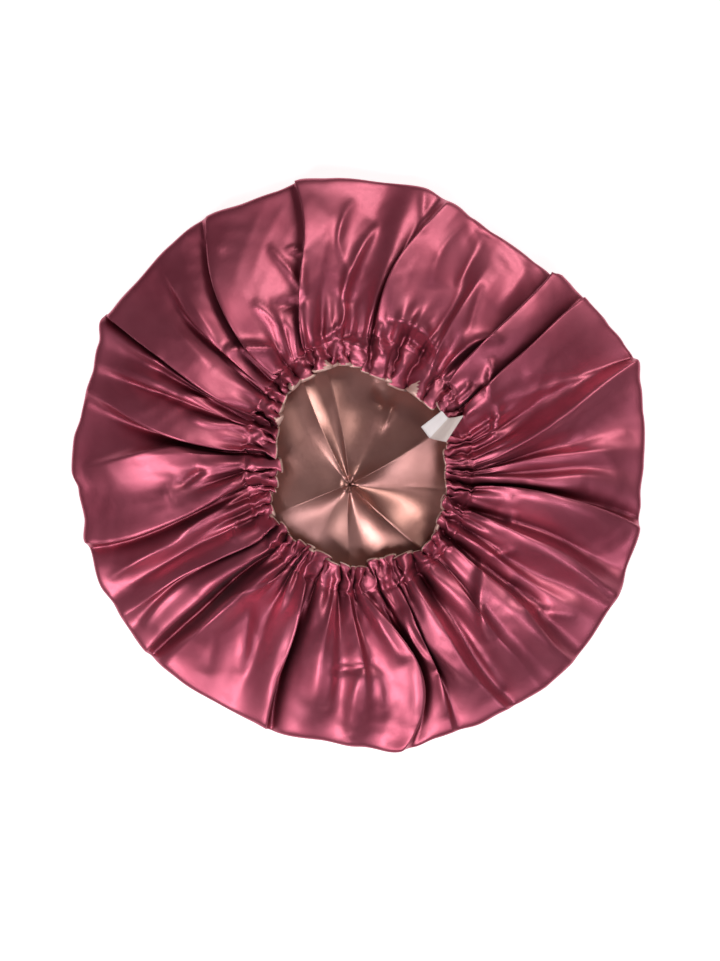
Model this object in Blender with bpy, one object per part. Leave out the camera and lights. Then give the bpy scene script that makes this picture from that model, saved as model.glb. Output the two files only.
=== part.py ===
"""A satin sleep bonnet that lies on its crown with its gathered mouth up.

Two round sheets of satin, the outer shell and the lining, lie flat as the crown, turn over at the rim and
come back in pleats to the mouth. A folded strip of satin, the casing, closes the mouth round an elastic band,
and a plain label is sewn under it. Metres, +Z up, with the origin under the middle of the crown.
"""

import math
from collections import namedtuple

import bmesh
import bpy

# Sizes of the lying bonnet
RIM_RADIUS = 0.188
LOFT = 0.030
FOLD_DEPTH = 0.013
MOUTH_HALF_WIDTH = 0.0565
MOUTH_HALF_LENGTH = 0.0655
MOUTH_WAVE = 0.0075
CASING_RISE = 0.006
CLOTH = 0.0010
GAP = 0.0003
CREASE_HEIGHT = 0.005
LINING_EASE = 0.0015

# Sizes of the gathered casing and of the elastic in it
GATHERS = 48
GATHER_DEPTH = 0.0028
GATHER_SCALLOP = 0.0012
CASING_SLACK = 0.0008
CASING_SEAM = 0.0021
ELASTIC_THICKNESS = 0.0010
ELASTIC_WIDTH = 0.0060
ELASTIC_CLEARANCE = 0.0005

# Sizes of the label
LABEL_WIDTH = 0.020
LABEL_LENGTH = 0.021
LABEL_THICKNESS = 0.0010
LABEL_TUCK = 0.005
LABEL_SAG = 0.002
LABEL_ANGLE = 27.0

# How finely the solids are divided
SHORT_SIDE_STEPS = 2
LONG_SIDE_STEPS = 3
LINING_COLUMNS = 72
STEPS_PER_GATHER = 3
NEARBY_DEG = 7.0
EDGE_ROUNDING = 0.45

# One row for each pleat, counterclockwise from +X. Angles are in degrees, where its crest and the trough after
# it meet the rim, cross the middle of the slope, and reach the casing. Heights are shares of FOLD_DEPTH, and
# reach is the outline's distance at the crest as a share of RIM_RADIUS.
Fold = namedtuple(
    "Fold",
    "crest_rim crest_mid crest_seat trough_rim trough_mid trough_seat crest trough reach",
)
FOLDS = [
    Fold(3.5, 3.0, 0.5, 7.0, 5.5, 2.5, 0.80, 0.40, 0.996),
    Fold(20.0, 11.0, 5.5, 22.0, 20.0, 13.0, 1.00, 0.10, 1.046),
    Fold(34.5, 31.0, 24.5, 37.0, 35.5, 30.5, 0.85, 0.40, 0.990),
    Fold(43.0, 40.5, 38.5, 45.0, 43.5, 42.5, 0.95, 0.10, 0.984),
    Fold(56.5, 56.0, 53.5, 62.0, 62.0, 60.5, 0.75, 0.50, 0.942),
    Fold(70.0, 75.0, 79.5, 74.0, 79.0, 84.0, 1.00, 0.05, 0.974),
    Fold(79.0, 83.5, 88.5, 87.0, 90.0, 96.0, 0.50, 0.30, 1.009),
    Fold(100.5, 102.5, 111.5, 104.5, 107.0, 116.5, 1.00, 0.30, 1.026),
    Fold(120.0, 125.5, 128.5, 126.0, 129.0, 132.0, 0.90, 0.10, 1.030),
    Fold(131.0, 133.0, 136.0, 136.5, 138.5, 140.0, 0.60, 0.30, 1.026),
    Fold(143.0, 145.0, 147.0, 148.0, 149.5, 151.5, 0.95, 0.10, 1.024),
    Fold(151.0, 152.8, 154.5, 155.0, 155.5, 157.0, 0.75, 0.30, 1.046),
    Fold(158.2, 158.3, 159.2, 160.6, 160.6, 161.8, 0.60, 0.10, 1.008),
    Fold(165.5, 167.5, 168.5, 172.0, 172.5, 172.5, 0.90, 0.05, 1.000),
    Fold(178.5, 177.5, 178.0, 186.0, 186.0, 184.0, 0.75, 0.60, 1.016),
    Fold(194.3, 195.0, 190.5, 198.5, 199.0, 197.5, 0.90, 0.10, 0.994),
    Fold(203.5, 203.5, 204.0, 208.5, 207.5, 208.5, 0.45, 0.25, 1.003),
    Fold(213.0, 211.5, 213.0, 216.5, 214.2, 216.0, 0.85, 0.55, 0.990),
    Fold(220.0, 217.5, 219.0, 223.5, 221.5, 222.5, 0.80, 0.00, 0.994),
    Fold(227.5, 226.5, 229.0, 241.0, 240.0, 236.5, 0.90, 0.15, 0.982),
    Fold(247.5, 245.8, 243.5, 252.0, 249.8, 248.0, 0.90, 0.00, 0.978),
    Fold(258.0, 257.0, 255.5, 263.5, 264.0, 261.5, 0.70, 0.30, 0.970),
    Fold(267.5, 269.0, 265.8, 273.0, 275.0, 269.5, 0.60, 0.35, 0.983),
    Fold(278.0, 282.0, 275.0, 283.0, 285.5, 282.5, 0.85, 0.15, 1.007),
    Fold(288.8, 288.6, 286.5, 292.5, 290.8, 289.5, 0.60, 0.30, 0.988),
    Fold(300.5, 295.0, 293.5, 304.0, 302.0, 300.5, 0.85, 0.10, 0.991),
    Fold(308.5, 308.5, 308.5, 316.5, 316.5, 315.0, 0.80, 0.20, 1.006),
    Fold(324.5, 321.5, 321.5, 329.0, 329.0, 327.0, 0.50, 0.20, 1.010),
    Fold(333.5, 335.0, 334.0, 339.0, 339.5, 339.0, 0.80, 0.10, 1.010),
    Fold(346.5, 348.8, 348.0, 350.8, 351.5, 351.5, 0.75, 0.10, 1.001),
]

# One row for each ring of the shell's outer skin, from the crown to the casing. A crown ring lies at a share of
# the rim's radius. The others lie at a share of the way in from the rim to the casing, at a share of LOFT,
# where the pleats have a share of their depth.
Ring = namedtuple("Ring", "name on_crown along rise fold")
RINGS = [
    Ring("crown_middle", True, 0.45, 0.00, 0.00),
    Ring("crown_edge", True, 0.90, 0.00, 0.00),
    Ring("under_roll", False, 0.035, 0.12, 0.00),
    Ring("rim", False, 0.00, 0.42, 0.06),
    Ring("over_roll", False, 0.035, 0.70, 0.30),
    Ring("shoulder", False, 0.14, 0.90, 0.75),
    Ring("high", False, 0.34, 1.00, 1.00),
    Ring("slope", False, 0.60, 0.97, 1.00),
    Ring("gather", False, 0.83, 0.88, 0.80),
    Ring("seat", False, 1.00, 0.78, 0.25),
]
LINING_RINGS = [
    Ring("crown_inner", True, 0.13, 0.00, 0.00),
    Ring("crown_middle", True, 0.34, 0.00, 0.00),
    Ring("crown_outer", True, 0.62, 0.00, 0.00),
    Ring("crown_edge", True, 0.90, 0.00, 0.00),
    Ring("under_roll", False, 0.035, 0.12, 0.00),
    Ring("rim", False, 0.00, 0.42, 0.00),
    Ring("over_roll", False, 0.035, 0.70, 0.00),
    Ring("high", False, 0.34, 1.00, 0.00),
    Ring("seat", False, 1.00, 0.78, 0.00),
]

# One row for each place where the mouth's free edge leaves its oval: the angle in degrees, and how far the edge
# lies outside the oval, as a share of MOUTH_WAVE.
Wave = namedtuple("Wave", "angle out")
MOUTH_WAVES = [
    Wave(2.0, 0.0),
    Wave(33.0, 0.85),
    Wave(49.0, -0.35),
    Wave(63.0, -1.00),
    Wave(80.0, -0.85),
    Wave(100.0, 0.15),
    Wave(131.0, 0.75),
    Wave(152.0, 0.20),
    Wave(181.0, -0.55),
    Wave(193.0, 0.00),
    Wave(209.0, 0.85),
    Wave(225.0, 0.50),
    Wave(239.0, -0.15),
    Wave(268.0, 0.20),
    Wave(285.0, -0.35),
    Wave(309.0, 1.00),
    Wave(331.0, 0.45),
]

# The lining's pressed creases meet at a pucker beside the crown's middle. One row for each crease: its angle in
# degrees and its height as a share of CREASE_HEIGHT. The ring shares say how high they stand along their length.
Crease = namedtuple("Crease", "angle height")
CREASES = [
    Crease(30.0, 1.0),
    Crease(105.0, 0.8),
    Crease(135.0, 0.5),
    Crease(200.0, 0.9),
    Crease(270.0, 0.6),
    Crease(315.0, 0.7),
]
CREASE_ALONG = {"crown_inner": 0.9, "crown_middle": 1.0, "crown_outer": 0.45}
PUCKER_X_SHARE = -0.028
PUCKER_Y_SHARE = -0.074

# Finishes, as linear colours
ROSE_SATIN = (0.36, 0.065, 0.115, 1.0)
CHAMPAGNE_SATIN = (0.50, 0.33, 0.27, 1.0)
WHITE_RIB = (0.80, 0.79, 0.76, 1.0)
WHITE_TAPE = (0.85, 0.85, 0.83, 1.0)


def blend(start, end, share):
    return start + (end - start) * share


def eased(start, end, share):
    """A smooth rise with level ends, as a soft pleat has."""
    return blend(start, end, 0.5 - 0.5 * math.cos(math.pi * share))


def through(rim, middle, seat, share):
    """A smooth line that has three given values at the rim, half way in, and at the casing."""
    control = 2.0 * middle - 0.5 * (rim + seat)
    rest = 1.0 - share
    return rest * rest * rim + 2.0 * share * rest * control + share * share * seat


class Column:
    """One line of the folded cloth from the rim to the casing."""

    def __init__(self, rim, middle, seat, height, reach):
        self.angles = (rim, middle, seat)
        self.height = height
        self.reach = reach

    def angle(self, share):
        return math.radians(through(*self.angles, share))

    def towards(self, other, share):
        angles = [blend(a, b, share) for a, b in zip(self.angles, other.angles)]
        height = eased(self.height, other.height, share)
        return Column(*angles, height, blend(self.reach, other.reach, share))


def turned(column, degrees):
    """The same column, counted on by whole turns."""
    return Column(*[a + degrees for a in column.angles], column.height, column.reach)


def knots():
    """The crests and troughs in order, with the first crest repeated one turn on."""
    crests = [
        Column(f.crest_rim, f.crest_mid, f.crest_seat, f.crest, f.reach) for f in FOLDS
    ]
    crests.append(turned(crests[0], 360.0))
    found = []
    for fold, here, after in zip(FOLDS, crests, crests[1:]):
        span = after.angles[0] - here.angles[0]
        reach = blend(here.reach, after.reach, (fold.trough_rim - here.angles[0]) / span)
        found.append(here)
        found.append(
            Column(fold.trough_rim, fold.trough_mid, fold.trough_seat, fold.trough, reach)
        )
    return [*found, crests[-1]]


def shell_columns():
    found = []
    line = knots()
    for number, (here, after) in enumerate(zip(line, line[1:])):
        steps = SHORT_SIDE_STEPS if number % 2 == 0 else LONG_SIDE_STEPS
        found += [here.towards(after, step / steps) for step in range(steps)]
    return found


COLUMNS = shell_columns()


def seat_share(angle):
    """The pleats' height share at the casing, at an angle in radians."""
    line = knots()
    degrees = math.degrees(angle)
    first = line[0].angles[2]
    degrees = first + (degrees - first) % 360.0
    for here, after in zip(line, line[1:]):
        span = after.angles[2] - here.angles[2]
        if degrees <= after.angles[2]:
            return eased(here.height, after.height, (degrees - here.angles[2]) / span)
    return line[0].height


def oval_radius(angle):
    """The radius of the oval that the mouth follows, at an angle in radians."""
    across = math.cos(angle) / MOUTH_HALF_WIDTH
    along = math.sin(angle) / MOUTH_HALF_LENGTH
    return 1.0 / math.hypot(across, along)


def mouth_radius(angle):
    """Where the casing's free edge lies."""
    degrees = math.degrees(angle)
    first = MOUTH_WAVES[0]
    degrees = first.angle + (degrees - first.angle) % 360.0
    closed = [*MOUTH_WAVES, Wave(first.angle + 360.0, first.out)]
    for here, after in zip(closed, closed[1:]):
        if degrees <= after.angle:
            share = (degrees - here.angle) / (after.angle - here.angle)
            return oval_radius(angle) + MOUTH_WAVE * eased(here.out, after.out, share)
    return oval_radius(angle)


def channel_inner(angle):
    """The mouth's side of the channel that holds the elastic."""
    return mouth_radius(angle) + CLOTH + CASING_SLACK


def channel_width():
    return ELASTIC_WIDTH + 2.0 * ELASTIC_CLEARANCE


def channel_outer(angle):
    return channel_inner(angle) + channel_width()


def seat_radius(angle):
    """Where the shell and the lining end, past the elastic's outermost wave."""
    hem = CLOTH + CASING_SLACK + channel_width() + CASING_SEAM
    return oval_radius(angle) + MOUTH_WAVE + hem


def ring_point(ring, rim, seat, share):
    """A ring's distance from the middle and height above the floor."""
    if ring.on_crown:
        return rim * ring.along, 0.0
    return blend(rim, seat, ring.along), LOFT * ring.rise + FOLD_DEPTH * ring.fold * share


def moved_in(profile, distances):
    """A profile of (distance, height) points moved to its inner side, each by its own distance."""
    found = []
    for number, (out, height) in enumerate(profile):
        before = profile[max(number - 1, 0)]
        after = profile[min(number + 1, len(profile) - 1)]
        first = math.atan2(height - before[1], out - before[0])
        second = math.atan2(after[1] - height, after[0] - out)
        if number == 0:
            first = second
        if number == len(profile) - 1:
            second = first
        turn = math.remainder(second - first, math.tau)
        facing = first + turn / 2.0 + math.pi / 2.0
        distance = distances[number] / math.cos(turn / 2.0)
        found.append(
            (out + distance * math.cos(facing), height + distance * math.sin(facing))
        )
    return found


def placed(out, angle, height):
    return (out * math.cos(angle), out * math.sin(angle), height)


def new_object(name, mesh, colour, roughness):
    data = bpy.data.meshes.new(name)
    bmesh.ops.recalc_face_normals(mesh, faces=mesh.faces)
    mesh.to_mesh(data)
    mesh.free()
    data.shade_smooth()
    data.set_sharp_from_angle(angle=math.radians(50.0))
    obj = bpy.data.objects.new(name, data)
    bpy.context.scene.collection.objects.link(obj)
    material = bpy.data.materials.new(name)
    material.use_nodes = True
    shader = material.node_tree.nodes["Principled BSDF"]
    shader.inputs["Base Color"].default_value = colour
    shader.inputs["Roughness"].default_value = roughness
    data.materials.append(material)
    return obj


def strip(mesh, first, second):
    """Faces between two closed loops of points."""
    count = len(first)
    for number in range(count):
        after = (number + 1) % count
        mesh.faces.new((first[number], first[after], second[after], second[number]))


def fan(mesh, centre, loop):
    for number, point in enumerate(loop):
        mesh.faces.new((centre, point, loop[(number + 1) % len(loop)]))


def sack(name, outer_rings, inner_rings, outer_centre, inner_centre, colour, roughness):
    """A cloth sack of two skins, each a centre point and rings, joined at the last ring."""
    mesh = bmesh.new()
    last_loops = []
    for centre, rings in ((outer_centre, outer_rings), (inner_centre, inner_rings)):
        loops = [[mesh.verts.new(point) for point in ring] for ring in rings]
        fan(mesh, mesh.verts.new(centre), loops[0])
        for here, after in zip(loops, loops[1:]):
            strip(mesh, here, after)
        last_loops.append(loops[-1])
    strip(mesh, *last_loops)
    return new_object(name, mesh, colour, roughness)


def steepness(table, ring, column):
    """How much longer the cloth is than its plan, across the pleats, at one point of the shell."""
    count = len(COLUMNS)
    before, after = table[(column - 1) % count][ring], table[(column + 1) % count][ring]
    share = RINGS[ring].along if not RINGS[ring].on_crown else 0.0
    span = COLUMNS[(column + 1) % count].angle(share) - COLUMNS[(column - 1) % count].angle(share)
    run = table[column][ring][0] * (span % math.tau)
    return math.hypot(1.0, (after[1] - before[1]) / run)


def build_shell():
    """The outer satin: a flat crown, a rolled rim and a pleated slope up to the casing."""
    table = []
    for column in COLUMNS:
        rim = RIM_RADIUS * column.reach
        seat = seat_radius(column.angle(1.0)) + GAP / 2.0
        table.append([ring_point(ring, rim, seat, column.height) for ring in RINGS])
    outer, inner = [], []
    profiles = []
    for number, points in enumerate(table):
        walls = [CLOTH] + [
            CLOTH * steepness(table, ring, number) for ring in range(len(RINGS))
        ]
        profiles.append(moved_in([(0.0, 0.0), *points], walls)[1:])
    for ring, row in enumerate(RINGS):
        share = 0.0 if row.on_crown else row.along
        outer.append(
            [
                placed(points[ring][0], column.angle(share), points[ring][1])
                for column, points in zip(COLUMNS, table)
            ]
        )
        last = ring == len(RINGS) - 1
        inner.append(
            [
                placed(
                    points[ring][0] if last else points_in[ring][0],
                    column.angle(share),
                    points_in[ring][1],
                )
                for column, points, points_in in zip(COLUMNS, table, profiles)
            ]
        )
    return sack(
        "outer_shell", outer, inner, (0, 0, 0), (0, 0, CLOTH), ROSE_SATIN, 0.35
    )


def smallest_reach(angle):
    """The least outline share near an angle, so that the lining stays inside every dent of the shell."""
    near = [
        column.reach
        for column in COLUMNS
        if abs(math.remainder(column.angle(0.0) - angle, math.tau)) < math.radians(NEARBY_DEG)
    ]
    return min(near)


def crease_share(angle):
    """How high the lining's creases stand at an angle in radians."""
    step = math.tau / LINING_COLUMNS
    for crease in CREASES:
        if abs(math.remainder(math.radians(crease.angle) - angle, math.tau)) < step / 2.0:
            return crease.height
    return 0.0


def build_lining():
    """The lining: a second sack inside the shell, plain where the shell hides it, with creases on its crown."""
    pucker = (RIM_RADIUS * PUCKER_X_SHARE, RIM_RADIUS * PUCKER_Y_SHARE)
    skins = ([], [])
    angles = [math.tau * number / LINING_COLUMNS for number in range(LINING_COLUMNS)]
    for angle in angles:
        rim = RIM_RADIUS * smallest_reach(angle) - LINING_EASE
        seat = seat_radius(angle) + GAP / 2.0
        shell = [ring_point(ring, rim, seat, 0.0) for ring in LINING_RINGS]
        for skin, depth in zip(skins, (CLOTH + GAP, 2.0 * CLOTH + GAP)):
            moved = moved_in([(0.0, 0.0), *shell], [depth] * (len(shell) + 1))[1:]
            moved[-1] = (seat, moved[-1][1])
            skin.append(moved)
    rings = ([], [])
    for number, row in enumerate(LINING_RINGS):
        shift = max(0.0, 1.0 - row.along) if row.on_crown else 0.0
        lift = CREASE_HEIGHT * CREASE_ALONG.get(row.name, 0.0)
        for skin, found in zip(skins, rings):
            loop = []
            for angle, profile in zip(angles, skin):
                x, y, z = placed(profile[number][0], angle, profile[number][1])
                z += lift * crease_share(angle)
                loop.append((x + pucker[0] * shift, y + pucker[1] * shift, z))
            found.append(loop)
    peak = CLOTH + GAP + CREASE_HEIGHT
    return sack(
        "lining",
        rings[0],
        rings[1],
        (*pucker, peak),
        (*pucker, peak + CLOTH),
        CHAMPAGNE_SATIN,
        0.40,
    )


def seat_height(share):
    """The shell's upper face at the casing."""
    ring = RINGS[-1]
    return LOFT * ring.rise + FOLD_DEPTH * ring.fold * share


def lining_seat_underside():
    """The lining's lower face at the casing."""
    return seat_height(0.0) - 2.0 * CLOTH - GAP


def casing_floor(out, angle):
    """The casing's underside at a distance from the middle. It rises towards the mouth."""
    outer, mouth = seat_radius(angle), mouth_radius(angle)
    return lining_seat_underside() + CASING_RISE * (outer - out) / (outer - mouth)


def casing_angles():
    count = GATHERS * STEPS_PER_GATHER
    return [math.tau * column / count for column in range(count)]


def gather_height(column):
    """How far the cloth puffs up at one column of the casing, from 0 to 1."""
    gather, step = divmod(column, STEPS_PER_GATHER)
    puff = 0.72 + 0.28 * math.sin(2.4 * gather)
    return puff * math.sin(math.pi * step / STEPS_PER_GATHER)


def ring_band(name, sections, colour, roughness):
    """A closed band from cross-sections of (distance, height) points, one for each angle of the turn."""
    mesh = bmesh.new()
    loops = []
    for number, points in enumerate(sections):
        angle = math.tau * number / len(sections)
        loops.append([mesh.verts.new(placed(out, angle, z)) for out, z in points])
    for here, after in zip(loops, loops[1:] + loops[:1]):
        strip(mesh, here, after)
    return new_object(name, mesh, colour, roughness)


def build_casing():
    """A strip of satin folded over the elastic, open towards the shell, with small gathers on its upper side."""
    room = ELASTIC_THICKNESS + 2.0 * ELASTIC_CLEARANCE
    sections = []
    for column, angle in enumerate(casing_angles()):
        outer = seat_radius(angle) - GAP / 2.0
        start, end = channel_outer(angle), channel_inner(angle)
        gather = gather_height(column)
        edge = mouth_radius(angle) - GATHER_SCALLOP * gather
        puff = GATHER_DEPTH * gather
        bend = blend(end, edge, EDGE_ROUNDING)
        seat_top = seat_height(seat_share(angle))
        roof_start = casing_floor(start, angle) + 2.0 * CLOTH + room + puff
        roof_end = casing_floor(end, angle) + 2.0 * CLOTH + room + puff
        sections.append(
            [
                (outer, seat_top),
                (start, roof_start),
                (bend, roof_end),
                (edge, blend(casing_floor(bend, angle), roof_end, 0.5)),
                (bend, casing_floor(bend, angle)),
                (outer, casing_floor(outer, angle)),
                (outer, casing_floor(outer, angle) + CLOTH),
                (end, casing_floor(end, angle) + CLOTH),
                (end, roof_end - CLOTH),
                (start, roof_start - CLOTH),
                (outer, seat_top - CLOTH),
            ]
        )
    return ring_band("elastic_casing", sections, ROSE_SATIN, 0.35)


def build_elastic():
    """A flat woven band in the casing's channel."""
    sections = []
    for angle in casing_angles():
        inner = channel_inner(angle) + ELASTIC_CLEARANCE
        outer = inner + ELASTIC_WIDTH
        inner_low = casing_floor(inner, angle) + CLOTH + ELASTIC_CLEARANCE
        outer_low = casing_floor(outer, angle) + CLOTH + ELASTIC_CLEARANCE
        sections.append(
            [
                (inner, inner_low),
                (outer, outer_low),
                (outer, outer_low + ELASTIC_THICKNESS),
                (inner, inner_low + ELASTIC_THICKNESS),
            ]
        )
    return ring_band("elastic_band", sections, WHITE_RIB, 0.8)


def label_root_height():
    """The height at which the label's tucked corners clear the casing's underside."""
    angle = math.radians(LABEL_ANGLE)
    out = mouth_radius(angle) + LABEL_TUCK
    corner = math.hypot(out, LABEL_WIDTH / 2.0)
    turn = math.atan2(LABEL_WIDTH / 2.0, out)
    return min(casing_floor(corner, angle + side * turn) for side in (-1.0, 1.0)) - GAP


def build_label():
    """A plain tape, tucked under the casing, that sags a little into the mouth."""
    angle = math.radians(LABEL_ANGLE)
    root = mouth_radius(angle) + LABEL_TUCK
    height = label_root_height()
    mesh = bmesh.new()
    loops = []
    for share in (0.0, 0.3, 0.65, 1.0):
        out = root - LABEL_LENGTH * share
        top = height - LABEL_SAG * share * share
        loop = []
        for side, z in (
            (-0.5, top),
            (0.5, top),
            (0.5, top - LABEL_THICKNESS),
            (-0.5, top - LABEL_THICKNESS),
        ):
            x = math.cos(angle) * out - math.sin(angle) * LABEL_WIDTH * side
            y = math.sin(angle) * out + math.cos(angle) * LABEL_WIDTH * side
            loop.append(mesh.verts.new((x, y, z)))
        loops.append(loop)
    mesh.faces.new(loops[0])
    for here, after in zip(loops, loops[1:]):
        strip(mesh, here, after)
    mesh.faces.new(loops[-1])
    return new_object("care_label", mesh, WHITE_TAPE, 0.6)


def clear_scene():
    for obj in list(bpy.data.objects):
        bpy.data.objects.remove(obj)


def main():
    clear_scene()
    bonnet = bpy.data.objects.new("sleep_bonnet", None)
    bpy.context.scene.collection.objects.link(bonnet)
    for build in (build_shell, build_lining, build_casing, build_elastic, build_label):
        build().parent = bonnet


main()
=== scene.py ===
"""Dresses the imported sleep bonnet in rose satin, a champagne lining, a gathered casing and a bare label."""

import math
from collections import namedtuple

import bpy
import numpy as np
from bpy.props import FloatProperty, FloatVectorProperty, IntProperty, PointerProperty
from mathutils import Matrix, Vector


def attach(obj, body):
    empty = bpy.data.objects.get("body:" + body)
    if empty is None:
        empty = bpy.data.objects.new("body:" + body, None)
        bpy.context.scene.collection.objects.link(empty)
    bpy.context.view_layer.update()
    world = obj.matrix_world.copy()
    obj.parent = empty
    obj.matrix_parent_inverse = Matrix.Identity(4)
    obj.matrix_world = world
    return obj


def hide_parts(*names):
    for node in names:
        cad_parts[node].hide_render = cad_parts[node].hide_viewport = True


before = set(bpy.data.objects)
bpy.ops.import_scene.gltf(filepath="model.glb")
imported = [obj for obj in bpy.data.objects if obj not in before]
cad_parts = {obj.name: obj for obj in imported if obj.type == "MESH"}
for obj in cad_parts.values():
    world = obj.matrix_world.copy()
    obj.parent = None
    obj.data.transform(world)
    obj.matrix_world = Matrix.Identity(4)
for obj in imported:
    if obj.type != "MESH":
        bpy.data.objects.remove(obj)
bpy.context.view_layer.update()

bl_info = {
    "name": "Sleep Bonnet Dressing",
    "version": (1, 0, 0),
    "blender": (4, 5, 0),
    "location": "3D View > Sidebar > Bonnet",
    "description": "Builds the satin, lining, casing and label of a sleep bonnet around its packed solids",
    "category": "Object",
}

BODY = "root"

# The photograph's scale, in metres for a pixel, and its middle and the bonnet's middle in pixels.
PIXEL = 0.379 / 573.0
PHOTO_WIDTH = 720
PHOTO_MIDDLE = (360.0, 480.5)
BONNET_MIDDLE = (359.0, 465.5)
MIDDLE_X = (PHOTO_MIDDLE[0] - BONNET_MIDDLE[0]) * PIXEL
MIDDLE_Y = (BONNET_MIDDLE[1] - PHOTO_MIDDLE[1]) * PIXEL
CAMERA_HEIGHT = 1.15
RIM_HEIGHT = 0.014

# The small gathers on the slope and at the casing's free edge: their random seed, and their number as a
# share of the setting's.
SLOPE_GATHERS = (11, 1.0)
EDGE_GATHERS = (31, 1.25)

# How high a crease stands where the small gathers die out beside it, how far the slope's end and the
# casing's start tuck under each other, and the lining's height over the floor.
CALMING_LIFT = 0.0035
TUCK = 0.0006
LINING_FLOOR = 0.0018

# One row for each bend of the bonnet's outline: the angle in degrees, counterclockwise from +X, and the
# distance from the middle as a share of the rim's radius.
Bend = namedtuple("Bend", "angle reach")
OUTLINE = [
    Bend(*row)
    for row in (
        (0, 1.001), (10, 1.015), (16, 1.028), (20, 1.047), (22, 1.038), (25, 1.026), (30, 1.005),
        (35, 0.989), (40, 0.977), (43, 0.974), (45, 0.953), (50, 0.943), (60, 0.943), (65, 0.955),
        (70, 0.975), (77, 1.004), (85, 1.001), (95, 1.012), (101, 1.022), (107, 1.006), (113, 1.005),
        (120, 1.024), (125, 1.027), (131, 1.02), (140, 1.012), (146, 1.019), (150.5, 1.042), (155, 1.01),
        (161, 0.992), (170, 0.994), (175, 1.008), (181, 1.01), (185, 0.989), (191, 0.98), (194.5, 0.999),
        (198, 0.991), (205, 1.003), (210, 0.989), (220, 0.994), (230, 0.982), (240, 0.973), (247, 0.973),
        (252, 0.984), (262, 0.975), (270, 0.989), (277, 1.015), (281, 1.012), (286, 0.996), (290, 0.994),
        (295, 1.003), (299, 0.999), (305, 1.01), (311, 1.019), (320, 1.02), (328, 1.013), (335, 1.019),
        (340, 1.008), (346, 1.012), (351, 1.003), (355, 0.994),
    )
]

# One row for each pleat. Angles are in degrees, where its crest and the trough after it meet the rim,
# cross the middle of the slope, and reach the casing. crest and trough are heights as shares of the
# pleats' depth, lean is how far the crest folds over its trough, as a share of the same depth, belly says
# how the cloth comes up to the crest, from 0, hanging, to 1, puffed, and rim is the share of the pleat
# that is left at the rim.
Pleat = namedtuple(
    "Pleat",
    "crest_rim crest_mid crest_seat trough_rim trough_mid trough_seat crest trough lean belly rim",
)
PLEATS = [
    Pleat(*row)
    for row in (
        (3, 2.5, -4, 7.5, 6, -2.5, 0.72, 0.42, 0.1, 0.7, 0.3),
        (20, 12.3, -1, 22, 21, 11, 0.95, 0.1, 0.1, 0.5, 1),
        (34.8, 31.2, 24, 36.8, 34, 28.5, 0.9, 0.38, 0.45, 0.4, 1),
        (43.3, 40.3, 38.2, 45, 42.4, 41.5, 1, 0.08, 0.6, 0.6, 1),
        (56, 56.3, 53.5, 62, 61.5, 60, 0.72, 0.42, 0.1, 0.8, 0.2),
        (70.2, 76.2, 80.5, 73.5, 80, 84.5, 1, 0.3, 0.35, 0.5, 1),
        (77.5, 82.5, 87, 84, 88.5, 94, 0.4, 0.12, 0.05, 0.9, 0.8),
        (101.2, 102.6, 113, 103.5, 106, 116, 1, 0.28, 0.5, 0.4, 1),
        (120, 126.6, 130, 123, 128.5, 132.5, 0.92, 0.15, 0.55, 0.4, 0.7),
        (134, 137.5, 138, 136.5, 140, 140.5, 0.72, 0.28, 0.3, 0.6, 0.1),
        (147.6, 149, 151, 149.5, 151, 153, 0.95, 0.1, 0.5, 0.9, 1),
        (152.2, 153.2, 154.8, 155.6, 155.6, 157, 0.65, 0.32, 0.1, 0.6, 0.2),
        (158.4, 158.4, 159.2, 160.6, 160.6, 161.8, 0.6, 0.2, 0.2, 0.5, 0.2),
        (164, 168.2, 170.5, 168, 171.2, 172.8, 0.92, 0.08, 0.4, 0.6, 0.4),
        (179.5, 177.4, 175, 186, 186, 181, 0.74, 0.66, 0, 0.8, 0.3),
        (194.4, 195, 187, 197.2, 198.2, 193.5, 0.92, 0.1, 0.35, 0.3, 1),
        (203.5, 202.4, 199, 208, 206.6, 205.5, 0.55, 0.25, 0, 0.8, 0.3),
        (211.5, 211.8, 212.6, 216, 214.2, 215.6, 0.86, 0.5, 0.25, 0.6, 0.8),
        (220.4, 218.4, 220, 222.8, 221.8, 223.2, 0.8, 0.02, 0.25, 0.7, 0.8),
        (227, 226, 232, 242, 239.6, 236.8, 0.92, 0.18, 0, 0.9, 0.5),
        (249.4, 246.6, 243, 251.8, 249.6, 247.4, 0.9, 0.02, 0.35, 0.5, 1),
        (258, 258.5, 257, 264, 265, 260.5, 0.72, 0.3, 0.1, 0.8, 0.3),
        (267.6, 270.5, 263.5, 272.6, 274.6, 266, 0.6, 0.36, 0.1, 0.5, 0.7),
        (277, 283.4, 269.5, 281, 285.8, 276, 0.88, 0.12, 0.4, 0.2, 1),
        (289, 288.6, 286, 291.8, 290.4, 288.8, 0.64, 0.2, 0.3, 0.5, 0.5),
        (300.8, 296.4, 294.6, 303.6, 301.8, 300.8, 0.9, 0.1, 0.2, 0.9, 0.7),
        (308.2, 307.6, 308.4, 312.4, 312.4, 311.8, 0.82, 0.55, 0.2, 0.6, 0.6),
        (316.4, 316.4, 316.6, 321, 321.4, 320.4, 0.78, 0.12, 0.35, 0.5, 0.8),
        (326, 325.2, 324.8, 329.2, 329.2, 328, 0.4, 0.15, 0.1, 0.6, 0.3),
        (332.4, 334.6, 336, 338.5, 340.2, 339.8, 0.84, 0.12, 0.2, 0.5, 0.8),
        (346, 348.8, 346.5, 349.4, 351, 349.6, 0.88, 0.08, 0.4, 0.5, 1),
        (355, 355.4, 352.6, 358.4, 358.8, 354.4, 0.66, 0.4, 0.1, 0.8, 0.2),
    )
]

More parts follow.
